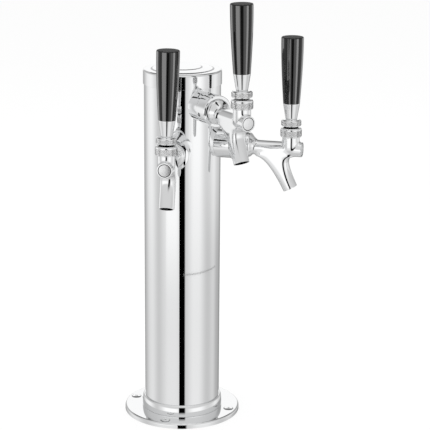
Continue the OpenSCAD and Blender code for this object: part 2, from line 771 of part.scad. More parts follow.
// Bonnet screwed over the neck, with a funnel that the stem swings in
module bonnet() {
    bonnet_thread_r = neck_thread_r + fit_gap;
    color("gainsboro") at_neck() turned(concat(
        [[bonnet_thread_r, bonnet_base_h], [bonnet_r - edge, bonnet_base_h],
         [bonnet_r, bonnet_base_h + edge]],
        arc_points([bonnet_r - bonnet_edge_r, bonnet_edge_h], [bonnet_edge_r, bonnet_edge_r],
            0, quarter_turn),
        [[swing_reach(bonnet_top_h, stem_r), bonnet_top_h],
         [swing_reach(bonnet_shoulder_h, stem_r), bonnet_shoulder_h],
         [bonnet_thread_r, bonnet_shoulder_h]]
    ));
}

// Lever: ball, tail with a ball end in the shaft's slot, stem, and stud for the handle
module lever(i) {
    color("darkgray") at_lever(i) {
        sphere(r = ball_r);
        translate([0, 0, -lever_arm]) cylinder(r = tail_r, h = lever_arm);
        translate([0, 0, -lever_arm]) sphere(r = tail_end_r);
        cylinder(r = stem_r, h = lever_recess_h + edge);
        translate([0, 0, lever_recess_h]) cylinder(r = stud_r, h = stud_top_h - lever_recess_h);
    }
}

// Collar under the handle, hollow below so that it clears the bonnet as it swings
module lever_collar(i) {
    bore_r = stud_r + fit_gap;
    rim_r = lever_collar_r - lever_collar_rim_w;
    color("gainsboro") at_lever(i) turned([
        [bore_r, lever_recess_h], [rim_r, lever_recess_h], [rim_r, lever_collar_base_h],
        [lever_collar_r - lever_collar_edge, lever_collar_base_h],
        [lever_collar_r, lever_collar_base_h + lever_collar_edge],
        [lever_collar_r, lever_collar_top_h - lever_collar_slope_h],
        [lever_collar_top_r, lever_collar_top_h], [bore_r, lever_collar_top_h]
    ]);
}

// Tapered metal ferrule at the foot of the handle
module handle_ferrule(i) {
    bore_r = stud_r + fit_gap;
    color("silver") at_lever(i) turned([
        [bore_r, ferrule_h0], [ferrule_foot_r, ferrule_h0], [ferrule_top_r, ferrule_top_h - edge],
        [ferrule_top_r, ferrule_top_h], [bore_r, ferrule_top_h]
    ]);
}

// Grip that swells quickly above the ferrule and stays near its full width at the top
module handle_grip(i) {
    bore_r = stud_r + fit_gap;
    wall_h = grip_h - grip_edge_r;
    color([0.05, 0.05, 0.05]) at_lever(i) turned(concat(
        [[bore_r, grip_h0]],
        [for (i = [0 : arc_steps])
            [ferrule_top_r + (grip_r - ferrule_top_r) * sin(quarter_turn * i / arc_steps),
             grip_h0 + wall_h * i / arc_steps]],
        arc_points([grip_r - grip_edge_r, grip_top_h - grip_edge_r], [grip_edge_r, grip_edge_r],
            quarter_turn / arc_steps, quarter_turn),
        [[0, grip_top_h - grip_dish], [0, stud_top_h + rest_gap], [bore_r, stud_top_h + rest_gap]]
    ));
}

column();
top_cap();
base_flange();
base_collar();
for (i = [0 : len(tap_names) - 1]) {
    tap = tap_names[i];
    at_tap(i) shank();
    at_tap(i) column_shroud();
    at_tap(i) lock_nut();
    at_tap(i) tail_elbow();
    at_tap(i) coupling_gasket();
    at_tap(i) coupling_nut();
    at_tap(i) faucet_body();
    at_tap(i) valve_shaft();
    at_tap(i) seat_washer();
    at_tap(i) shaft_nut();
    at_tap(i) lever_bushing();
    at_tap(i) ball_washer();
    at_tap(i) friction_ring();
    at_tap(i) bonnet();
    at_tap(i) lever(i);
    at_tap(i) lever_collar(i);
    at_tap(i) handle_ferrule(i);
    at_tap(i) handle_grip(i);
}
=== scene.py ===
"""Looks of a three-tap beer tower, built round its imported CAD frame.

Sizes in outlines are millimetres, as in the part's source, and everything in Blender is metres.
Each faucet is modelled once with its shank along +X and its axis at height nought, and its
copies are then turned and raised to their places on the column.
"""

import math

import bmesh
import bpy
from mathutils import Matrix, Vector


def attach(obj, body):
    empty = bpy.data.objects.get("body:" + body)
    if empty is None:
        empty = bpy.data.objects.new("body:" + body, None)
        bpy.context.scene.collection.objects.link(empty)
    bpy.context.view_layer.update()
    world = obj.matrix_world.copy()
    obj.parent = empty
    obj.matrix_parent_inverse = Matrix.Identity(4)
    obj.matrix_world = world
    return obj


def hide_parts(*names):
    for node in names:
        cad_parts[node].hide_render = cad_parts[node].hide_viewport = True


bl_info = {
    "name": "Three-tap beer tower",
    "version": (1, 0, 0),
    "blender": (4, 5, 0),
    "location": "3D View > Sidebar > Beer Tower",
    "description": "Polished column, cap, foot and three lever faucets round a CAD frame",
    "category": "Object",
}

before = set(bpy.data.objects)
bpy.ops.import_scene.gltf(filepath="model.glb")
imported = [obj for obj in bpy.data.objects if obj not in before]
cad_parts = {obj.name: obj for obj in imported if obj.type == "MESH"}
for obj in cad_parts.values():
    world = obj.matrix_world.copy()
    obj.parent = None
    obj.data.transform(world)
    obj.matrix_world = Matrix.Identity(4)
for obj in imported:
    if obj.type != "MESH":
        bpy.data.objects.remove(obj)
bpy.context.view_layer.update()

MM = 0.001
NEAR = 0.00002
SIDES = 128
SMALL_SIDES = 64
KNURLS = 96
SENSOR_WIDTH = 36
PHOTO_WIDTH = 430

# Turn from the middle tap, height of the shank's axis and sideways lean of the lever, for each tap
TAPS = {
    "left": (-38, 285.2, 1.1),
    "middle": (0, 326.2, -0.85),
    "right": (44.2, 285.2, 0),
}
LEVER_LEAN = 0.2

# Places along a shank, from the column's axis
BODY_X = 57.45
NUT_LIP_X = 61.85
HUB_END_X = 70
NECK_X = 110.2
NOSE_X = 121.7
AXIS_Z = -1.9
BALL_Z = 9.8

# Centre of a spout's mouth, and the spout's tilt there away from straight down
MOUTH_X = NECK_X + 0.3
MOUTH_Z = -41.5
MOUTH_TILT = 26.5

# Top of the flange, and the circle of its four screws
FLANGE_TOP = 5.0
BOLT_CIRCLE_R = 50.8
BOLT_TURN = -4.7

# Heights above the lever's ball
COLLAR_BASE_H = 11.9
COLLAR_TOP_H = 18.3
FERRULE_H = (18.35, 34.1)
GRIP_H = (34.15, 99.05)

# Radii of the holes round the handle's stud, and of the joint between ferrule and grip
STUD_R = 4.05
HANDLE_R = 8.2

# Radii of the two sloped steps on the cap's top
DISC_STEP = (18.3, 19.9)
RING_STEP = (29.7, 31.5)


class StudioSettings(bpy.types.PropertyGroup):
    """Camera and lights"""

    camera_distance: bpy.props.FloatProperty(
        name="Camera distance",
        description="Distance of the camera from the tower's axis",
        default=1.586185,
        unit="LENGTH",
    )
    camera_turn: bpy.props.FloatProperty(
        name="Camera turn",
        description="Turn of the camera round the tower, away from the middle tap's front",
        default=math.radians(-30.17),
        subtype="ANGLE",
    )
    camera_height_angle: bpy.props.FloatProperty(
        name="Camera height angle",
        description="Angle at which the camera looks down",
        default=math.radians(15.555),
        subtype="ANGLE",
    )
    target_height: bpy.props.FloatProperty(
        name="Target height",
        description="Height on the tower's axis that the camera's height is measured from",
        default=0.207821,
        unit="LENGTH",
    )
    camera_yaw: bpy.props.FloatProperty(
        name="Camera yaw",
        description="Small sideways turn of the camera, off the tower's axis",
        default=math.radians(1.237),
        subtype="ANGLE",
    )
    camera_roll: bpy.props.FloatProperty(
        name="Camera roll",
        description="Small roll of the camera",
        default=math.radians(0.411),
        subtype="ANGLE",
    )
    focal_pixels: bpy.props.FloatProperty(
        name="Focal length in pixels",
        description="Focal length of the photograph, in pixels of its 430 pixel width",
        default=1570.772,
    )
    floor_colour: bpy.props.FloatVectorProperty(
        name="Floor colour",
        description="Colour of the plain floor",
        default=(0.95, 0.95, 0.95),
        subtype="COLOR",
    )
    surround: bpy.props.FloatProperty(
        name="Surround",
        description="Brightness of the plain surround between the panels that the metal reflects",
        default=0.6,
    )


class TowerSettings(bpy.types.PropertyGroup):
    """Sizes and colours of the pieces that stand for CAD nodes"""

    steel_colour: bpy.props.FloatVectorProperty(
        name="Steel",
        description="Colour of the polished stainless steel",
        default=(0.925, 0.93, 0.935),
        subtype="COLOR",
    )
    chrome_colour: bpy.props.FloatVectorProperty(
        name="Chrome",
        description="Colour of the chrome plate on the faucets",
        default=(0.925, 0.93, 0.935),
        subtype="COLOR",
    )
    grip_colour: bpy.props.FloatVectorProperty(
        name="Grip",
        description="Colour of the black plastic grips",
        default=(0.001, 0.001, 0.001),
        subtype="COLOR",
    )
    knurl_depth: bpy.props.FloatProperty(
        name="Knurl depth",
        description="Depth of the knurl on the bonnets and lever collars",
        default=0.00025,
        unit="LENGTH",
    )
    casting_voxel: bpy.props.FloatProperty(
        name="Casting detail",
        description="Size of the steps from which a faucet's casting is smoothed",
        default=0.00045,
        unit="LENGTH",
    )
    screw_dome: bpy.props.FloatProperty(
        name="Screw dome",
        description="Height of the dome on each flange screw",
        default=0.0008,
        unit="LENGTH",
    )


class Value:
    """A socket that carries a number, so that node maths reads as plain sums"""

    def __init__(self, finish, socket):
        self.finish = finish
        self.socket = socket

    def _sum(self, operation, first, second=0.0):
        made = self.finish.node(
            "ShaderNodeMath", {"operation": operation}, {0: first, 1: second}
        )
        return Value(self.finish, made.outputs[0])

    def __add__(self, other):
        return self._sum("ADD", self, other)

    def __sub__(self, other):
        return self._sum("SUBTRACT", self, other)

    def __rsub__(self, other):
        return self._sum("SUBTRACT", other, self)

    def __mul__(self, other):
        return self._sum("MULTIPLY", self, other)

    def __abs__(self):
        return self._sum("ABSOLUTE", self)

    def largest(self, other):
        return self._sum("MAXIMUM", self, other)

    __radd__ = __add__
    __rmul__ = __mul__


class Finish:
    """A node tree that is being written"""

    material = None

    def __init__(self, tree):
        self.tree = tree
        self.tree.nodes.clear()

    def node(self, kind, settings=None, sockets=None):
        """Adds a node, sets it up and then fills its sockets with values or links."""
        made = self.tree.nodes.new(kind)
        for name, setting in (settings or {}).items():
            setattr(made, name, setting)
        for name, content in (sockets or {}).items():
            socket = made.inputs[name]
            if isinstance(content, Value):
                content = content.socket
            if isinstance(content, bpy.types.NodeSocket):
                self.tree.links.new(content, socket)
            else:
                socket.default_value = content
        return made

    def value(self, made, output=0):
        """One output of a node as a value."""
        return Value(self, made.outputs[output])

    def object_place(self, stretch=(1, 1, 1)):
        """Object coordinates, stretched along each axis."""
        place = self.node("ShaderNodeTexCoord").outputs["Object"]
        return self.node("ShaderNodeMapping", {}, {"Vector": place, "Scale": stretch}).outputs[0]

    def noise(self, place, scale, detail=3.0):
        """Noise from nought to one."""
        made = self.node(
            "ShaderNodeTexNoise", {}, {"Vector": place, "Scale": scale, "Detail": detail}
        )
        return self.value(made, "Fac")

    def soft_step(self, value, start, end):
        """Nought before start, one after end and smooth between them."""
        made = self.node(
            "ShaderNodeMapRange",
            {"interpolation_type": "SMOOTHSTEP"},
            {"Value": value, "From Min": start, "From Max": end},
        )
        return self.value(made)

    def tint(self, share, colour, ratio):
        """A colour that goes over to a ratio of itself, by a share."""
        made = self.node(
            "ShaderNodeMix",
            {"data_type": "RGBA"},
            {"Factor": share, "A": rgba(colour), "B": rgba([c * ratio for c in colour])},
        )
        return made.outputs["Result"]

    def bump(self, strength, distance, height):
        """A normal that follows a height."""
        made = self.node(
            "ShaderNodeBump", {}, {"Strength": strength, "Distance": distance, "Height": height}
        )
        return made.outputs[0]

    def show(self, shader):
        """Links a shader to the material's output."""
        self.node("ShaderNodeOutputMaterial", {}, {"Surface": shader.outputs[0]})

    def surface(self, sockets):
        """Makes a Principled surface and shows it."""
        self.show(self.node("ShaderNodeBsdfPrincipled", {}, sockets))


def new_material(name):
    """The empty node tree of a new material, with the material."""
    material = bpy.data.materials.new(name)
    material.use_nodes = True
    finish = Finish(material.node_tree)
    finish.material = material
    return finish


def rgba(colour):
    """A solid colour with its alpha."""
    return (*colour, 1)


def polished_metal(name, colour, roughness, haze, lines, stretch):
    """Polished metal with faint wiping haze and the finest polishing lines."""
    finish = new_material(name)
    haze_mask = finish.noise(finish.object_place(), 42)
    spots = finish.noise(finish.object_place(), 260, 2.0)
    line_mask = finish.noise(finish.object_place(stretch), 900, 2.0)
    finish.surface(
        {
            "Base Color": finish.tint(haze_mask * 0.5, colour, 0.96),
            "Metallic": 1.0,
            "Roughness": roughness + haze * haze_mask + haze * 0.5 * spots,
            "Normal": finish.bump(lines, 0.00001, line_mask),
        }
    )


def gloss_plastic(name, colour):
    """Black moulded plastic with a gloss and the faintest orange peel."""
    finish = new_material(name)
    peel = finish.noise(finish.object_place(), 900, 2.0)
    dust = finish.noise(finish.object_place(), 60, 4.0)
    finish.surface(
        {
            "Base Color": finish.tint(dust, colour, 1.6),
            "Roughness": 0.04 + 0.03 * dust,
            "Normal": finish.bump(0.05, 0.00002, peel),
        }
    )


def matte_piece(name, colour, roughness, metallic=0.0):
    """Turned metal, rubber or plastic that hardly shows, with fine grain."""
    finish = new_material(name)
    grain = finish.noise(finish.object_place(), 1400, 3.0)
    patches = finish.noise(finish.object_place(), 90, 3.0)
    finish.surface(
        {
            "Base Color": finish.tint(patches, colour, 0.8),
            "Metallic": metallic,
            "Roughness": roughness + 0.1 * patches,
            "Normal": finish.bump(0.2, 0.00003, grain),
        }
    )


def finishes():
    """Every material of the tower by its name, made once."""
    if "Polished steel" not in bpy.data.materials:
        tower = bpy.context.scene.beer_tower
        polished_metal("Polished steel", tower.steel_colour, 0.02, 0.02, 0.012, (1, 1, 0.02))
        polished_metal("Chrome plate", tower.chrome_colour, 0.015, 0.02, 0.02, (1, 1, 1))
        gloss_plastic("Black gloss plastic", tower.grip_colour)
        polished_metal("Knurled chrome", (0.96, 0.962, 0.965), 0.22, 0.06, 0.2, (1, 1, 1))
        polished_metal("Satin chrome", (0.9, 0.905, 0.91), 0.26, 0.08, 0.3, (1, 1, 1))
        # Polished steel at less than half the brightness, which paints the shade on the cap's
        # sloped steps and round the screw heads' edges: painted shade
        polished_metal("Painted shade ring", (0.42, 0.422, 0.425), 0.2, 0.05, 0.1, (1, 1, 1))
        # Near-black finish for the nose groove and the hollows of the collars and bonnets, which
        # paints the shade in them: painted shade
        matte_piece("Shaded recess", (0.035, 0.035, 0.035), 0.45, 1.0)
        # Near-black steel for the left and right lever stems, where it paints the shade in the
        # collar's gap: painted shade
        matte_piece("Painted shade steel", (0.05, 0.05, 0.048), 0.3, 1.0)
        matte_piece("Turned steel", (0.55, 0.55, 0.55), 0.3, 1.0)
        matte_piece("Turned brass", (0.78, 0.6, 0.3), 0.3, 1.0)
        matte_piece("Black rubber", (0.02, 0.02, 0.02), 0.7)
        matte_piece("White plastic", (0.85, 0.85, 0.83), 0.4)
        matte_piece("Black plastic", (0.02, 0.02, 0.02), 0.45)
        matte_piece("Dull black plastic", (0.004, 0.004, 0.004), 0.55)
    return bpy.data.materials


def deselect():
    """Leaves nothing selected."""
    bpy.ops.object.select_all(action="DESELECT")


def only(piece):
    """Selects one piece and makes it the active one."""
    deselect()
    piece.select_set(True)
    bpy.context.view_layer.objects.active = piece


def settle(piece):
    """Moves a piece's place into its mesh."""
    only(piece)
    bpy.ops.object.transform_apply(location=True, rotation=True, scale=True)


def edit(piece):
    """Opens a piece in edit mode with edge selection."""
    only(piece)
    bpy.context.tool_settings.mesh_select_mode = (False, True, False)
    bpy.ops.object.mode_set(mode="EDIT")


def unpicked_mesh():
    """The open piece's mesh with nothing in it selected."""
    mesh = bmesh.from_edit_mesh(bpy.context.edit_object.data)
    for item in (*mesh.faces, *mesh.edges, *mesh.verts):
        item.select = False
    return mesh


def select_edges(test):
    """Selects the edges of the open piece whose two ends pass a test."""
    mesh = unpicked_mesh()
    for item in mesh.edges:
        if all(test(corner.co) for corner in item.verts):
            item.select_set(True)
    bmesh.update_edit_mesh(bpy.context.edit_object.data)


def on_ring(radius, height):
    """Test for the corners on one ring round the upright axis."""
    return (
        lambda co: abs(math.hypot(co.x, co.y) - radius * MM) < NEAR
        and abs(co.z - height * MM) < NEAR
    )


def smooth(piece, angle=35):
    """Smooth shading across gentle edges, led by the larger faces."""
    only(piece)
    bpy.ops.object.shade_smooth_by_angle(angle=math.radians(angle))
    modifier = piece.modifiers.new("Even normals", "WEIGHTED_NORMAL")
    modifier.keep_sharp = True
    bpy.ops.object.modifier_apply(modifier=modifier.name)


def raise_ring(rise, ratio):
    """Extrudes the selected ring upwards and scales it about the axis."""
    bpy.ops.mesh.extrude_edges_move(TRANSFORM_OT_translate={"value": (0, 0, rise * MM)})
    bpy.ops.transform.resize(value=(ratio, ratio, 1), center_override=(0, 0, 0))


def turned(name, outline, sides=SIDES):
    """Turns an outline of (radius, height) round the upright axis, ring by ring.

    A third number rounds that corner. An outline that doesn't reach the axis closes on itself.
    """
    rings = [corner for corner in outline if corner[0] > 0]
    radius, height = rings[0][:2]
    deselect()
    bpy.ops.mesh.primitive_circle_add(
        vertices=sides, radius=radius * MM, location=(0, 0, height * MM)
    )
    piece = bpy.context.object
    piece.name = piece.data.name = name
    settle(piece)
    edit(piece)
    bpy.ops.mesh.select_all(action="SELECT")
    for ring_radius, ring_height, *_ in rings[1:]:
        raise_ring(ring_height - height, ring_radius / radius)
        radius, height = ring_radius, ring_height
    poles = [outline[i] for i in (0, -1) if outline[i][0] == 0]
    if poles:
        for end, pole in ((rings[0], outline[0]), (rings[-1], outline[-1])):
            select_edges(on_ring(*end[:2]))
            raise_ring(pole[1] - end[1], 0.1)
            bpy.ops.mesh.merge(type="COLLAPSE")
    else:
        first, last = on_ring(*rings[0][:2]), on_ring(*rings[-1][:2])
        select_edges(lambda co: first(co) or last(co))
        bpy.ops.mesh.bridge_edge_loops()
    for corner in rings:
        if len(corner) > 2:
            select_edges(on_ring(*corner[:2]))
            bpy.ops.mesh.bevel(offset=corner[2] * MM, segments=4, affect="EDGES")
    bpy.ops.mesh.select_all(action="SELECT")
    bpy.ops.mesh.normals_make_consistent(inside=False)
    bpy.ops.object.mode_set(mode="OBJECT")
    return piece


def arc(centre, radii, start, end, steps=10):
    """Corners along an arc of an ellipse, by angles in degrees."""
    return [
        (
            centre[0] + radii[0] * math.cos(math.radians(start + (end - start) * i / steps)),
            centre[1] + radii[1] * math.sin(math.radians(start + (end - start) * i / steps)),
        )
        for i in range(steps + 1)
    ]


def knurl(piece, low, high, depth):
    """Raises a diamond knurl on a band of rings.

    Each square is split crosswise, and the middle of each of its own edges is pulled outwards.
    """
    edit(piece)
    band = (low * MM - NEAR, high * MM + NEAR)
    mesh = bmesh.from_edit_mesh(piece.data)
    radius = max(math.hypot(corner.co.x, corner.co.y) for corner in mesh.verts)

    def in_band(co):
        return band[0] < co.z < band[1] and math.hypot(co.x, co.y) > radius - NEAR

    select_edges(in_band)
    bpy.context.tool_settings.mesh_select_mode = (False, False, True)
    mesh = bmesh.from_edit_mesh(piece.data)
    for face in mesh.faces:
        face.select_set(all(in_band(corner.co) for corner in face.verts))
    bmesh.update_edit_mesh(piece.data)
    bpy.ops.mesh.poke()
    bpy.context.tool_settings.mesh_select_mode = (False, True, False)
    mesh = unpicked_mesh()
    for side in mesh.edges:
        first, last = (corner.co for corner in side.verts)
        level = abs(first.z - last.z) < NEAR
        upright = (first.xy - last.xy).length < NEAR
        side.select_set(in_band(first) and in_band(last) and (level or upright))
    bmesh.update_edit_mesh(piece.data)
    old = len(mesh.verts)
    bpy.ops.mesh.subdivide(number_cuts=1)
    bpy.context.tool_settings.mesh_select_mode = (True, False, False)
    mesh = bmesh.from_edit_mesh(piece.data)
    mesh.verts.ensure_lookup_table()
    for corner in mesh.verts:
        inside = band[0] + 2 * NEAR < corner.co.z < band[1] - 2 * NEAR
        corner.select_set(corner.index >= old and inside)
    bmesh.update_edit_mesh(piece.data)
    ratio = 1 + depth / radius
    bpy.ops.transform.resize(value=(ratio, ratio, 1), center_override=(0, 0, 0))
    bpy.ops.object.mode_set(mode="OBJECT")


def join(pieces, name):
    """Joins pieces into the first one."""
    deselect()
    for piece in pieces:
        piece.select_set(True)
    bpy.context.view_layer.objects.active = pieces[0]
    bpy.ops.object.join()
    pieces[0].name = pieces[0].data.name = name
    return pieces[0]


def cut(piece, cutter, operation="DIFFERENCE"):
    """Cuts a piece with another one, which is used up."""
    only(piece)
    modifier = piece.modifiers.new("Cut", "BOOLEAN")
    modifier.operation = operation
    modifier.solver = "EXACT"
    modifier.object = cutter
    bpy.ops.object.modifier_apply(modifier=modifier.name)
    bpy.data.objects.remove(cutter)


def turn_to_x(piece, drop=0.0):
    """Lays a piece that was turned round the upright axis along +X."""
    piece.matrix_world = Matrix.Translation((0, 0, drop * MM)) @ Matrix.Rotation(
        math.pi / 2, 4, "Y"
    )
    settle(piece)


def tap_place(tap):
    """Carries what lies along +X to one tap's place."""
    turn, height, _ = TAPS[tap]
    return Matrix.Translation((0, 0, height * MM)) @ Matrix.Rotation(
        math.radians(turn - 90), 4, "Z"
    )


def neck_place(tap):
    """Carries what stands upright on the ball's centre to one tap's neck."""
    return tap_place(tap) @ Matrix.Translation((NECK_X * MM, 0, BALL_Z * MM))


def lever_place(tap):
    """Carries what stands on the ball's centre to one tap's shut lever."""
    lean = Matrix.Rotation(math.radians(-LEVER_LEAN), 4, "Y")
    tilt = Matrix.Rotation(math.radians(-TAPS[tap][2]), 4, "X")
    return neck_place(tap) @ lean @ tilt


def dress(piece, material, patches=()):
    """Gives a piece its finish, and a finish of their own to the faces that pass a test."""
    piece.data.materials.clear()
    piece.data.materials.append(finishes()[material])
    for number, (patch, test) in enumerate(patches, 1):
        piece.data.materials.append(finishes()[patch])
        for face in piece.data.polygons:
            if test(face.center / MM):
                face.material_index = number


def hand_in(piece, body, node):
    """Lets a dressed piece ride on its body in place of a CAD node."""
    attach(piece, body)
    if node:
        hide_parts(node)


def copy_to(piece, name, place):
    """Sets a copy of a piece, with its own mesh, at a place."""
    copy = piece.copy()
    copy.data = piece.data.copy()
    copy.name = copy.data.name = name
    bpy.context.collection.objects.link(copy)
    copy.matrix_world = place
    settle(copy)
    return copy


def set_at_taps(piece, suffix, node, body, place):
    """Sets a copy of a piece at each tap and uses up the first."""
    made = []
    for tap in TAPS:
        copy = copy_to(piece, f"{tap}_{suffix}", place(tap))
        hand_in(copy, body.format(tap=tap), f"{tap}_{node}")
        made.append(copy)
    bpy.data.objects.remove(piece)
    return made


def light_recess(made):
    """Makes the recess of the middle tap's copy light, as the photograph shows it."""
    # The middle tap's copy trades the painted shade in its recess for plain turned steel
    for piece in made:
        if piece.name.startswith("middle"):
            recess = piece.data.materials.find("Shaded recess")
            piece.data.materials[recess] = finishes()["Turned steel"]


class TOWER_OT_cap(bpy.types.Operator):
    """Spun cap with a rolled shoulder, a pressed ring and a raised disc"""

    bl_idname = "tower.cap"
    bl_label = "Cap"

    def execute(self, context):
        top, rim, outer, inner = 359.6, 343.0, 39.0, 38.2
        shoulder, ceiling = (36.5, 355.2), 355.9
        cap = turned(
            "spun_cap",
            [(0, top), (DISC_STEP[0], top, 0.25), (DISC_STEP[1], 359.1, 0.25)]
            + [(RING_STEP[0], 358.15, 0.2), (RING_STEP[1], 357.55, 0.2)]
            + arc(shoulder, (2.5, 2.5), 90, 0)
            + [(outer, rim, 0.12), (inner, rim, 0.12), (inner, ceiling), (31, ceiling)]
            + [(0, 357.5)],
        )
        smooth(cap)
        # The sloped steps of the cap's ring and disc get the darker steel: painted shade
        dress(cap, "Polished steel", [("Painted shade ring", self.on_step)])
        hand_in(cap, "cap", "top_cap")
        return {"FINISHED"}

    def on_step(self, place):
        """True on the sloped steps of the ring and the disc, seen from above."""
        radius, lowest = place.xy.length, 357.4
        on_disc = DISC_STEP[0] + 0.05 < radius < DISC_STEP[1]
        on_ring = RING_STEP[0] < radius < RING_STEP[1]
        return place.z > lowest and (on_disc or on_ring)


class TOWER_OT_foot(bpy.types.Operator):
    """Trim collar round the column's foot, and the four flange screws"""

    bl_idname = "tower.foot"
    bl_label = "Foot"

    def execute(self, context):
        bead, lip, bore, base, top = 41.1, 38.95, 38.15, 5.05, 16.4
        bead_height = 7.9
        collar = turned(
            "trim_collar",
            [(bore, base), (bead - 0.3, base, 0.2)]
            + arc((lip, top - bead_height), (bead - lip, bead_height), -20, 90, 22)[1:]
            + [(bore, top, 0.1)],
        )
        smooth(collar)
        dress(collar, "Polished steel")
        hand_in(collar, "tower", "base_collar")
        self.screws(context)
        return {"FINISHED"}

    def screws(self, context):
        """Domed countersunk screws with a cross recess."""
        dome = context.scene.beer_tower.screw_dome / MM
        head, shank, rim = 4.85, 2.3, 4.95
        screw = turned(
            "flange_screw",
            [(0, 0.1), (shank, 0.1, 0.2), (shank, 2.4), (head, rim, 0.1)]
            + [(head * math.cos(math.radians(a)), FLANGE_TOP + dome * math.sin(math.radians(a)))
               for a in (12, 30, 48, 66, 80)]
            + [(0, FLANGE_TOP + dome)],
            sides=SMALL_SIDES,
        )
        wedge_length, wedge_width, wedge_depth, wedge_taper = 4.6, 0.95, 3.2, 0.45
        for turn in (0, math.pi / 2):
            deselect()
            bpy.ops.mesh.primitive_cube_add(size=1, location=(0, 0, 5.4 * MM))
            wedge = bpy.context.object
            wedge.scale = (wedge_length * MM, wedge_width * MM, wedge_depth * MM)
            wedge.rotation_euler = (0, 0, turn)
            settle(wedge)
            edit(wedge)
            select_edges(lambda co: co.z < FLANGE_TOP * MM)
            bpy.ops.transform.resize(
                value=(wedge_taper, wedge_taper, 1), center_override=(0, 0, 0)
            )
            bpy.ops.object.mode_set(mode="OBJECT")
            cut(screw, wedge)
        smooth(screw, 30)
        # The outer edge of each screw head gets the darker steel: painted shade
        dress(
            screw,
            "Polished steel",
            [("Painted shade ring", lambda co: co.z > 4.9 and co.xy.length > 4.3)],
        )
        reach = BOLT_CIRCLE_R * MM
        for i in range(4):
            angle = math.radians(BOLT_TURN + 90 * (i + 0.5))
            centre = (reach * math.cos(angle), reach * math.sin(angle), 0)
            recess_turn = Matrix.Rotation(0.5 + 1.3 * i, 4, "Z")
            copy = copy_to(
                screw, f"flange_screw_{i + 1}", Matrix.Translation(centre) @ recess_turn
            )
            hand_in(copy, "tower", None)
        bpy.data.objects.remove(screw)


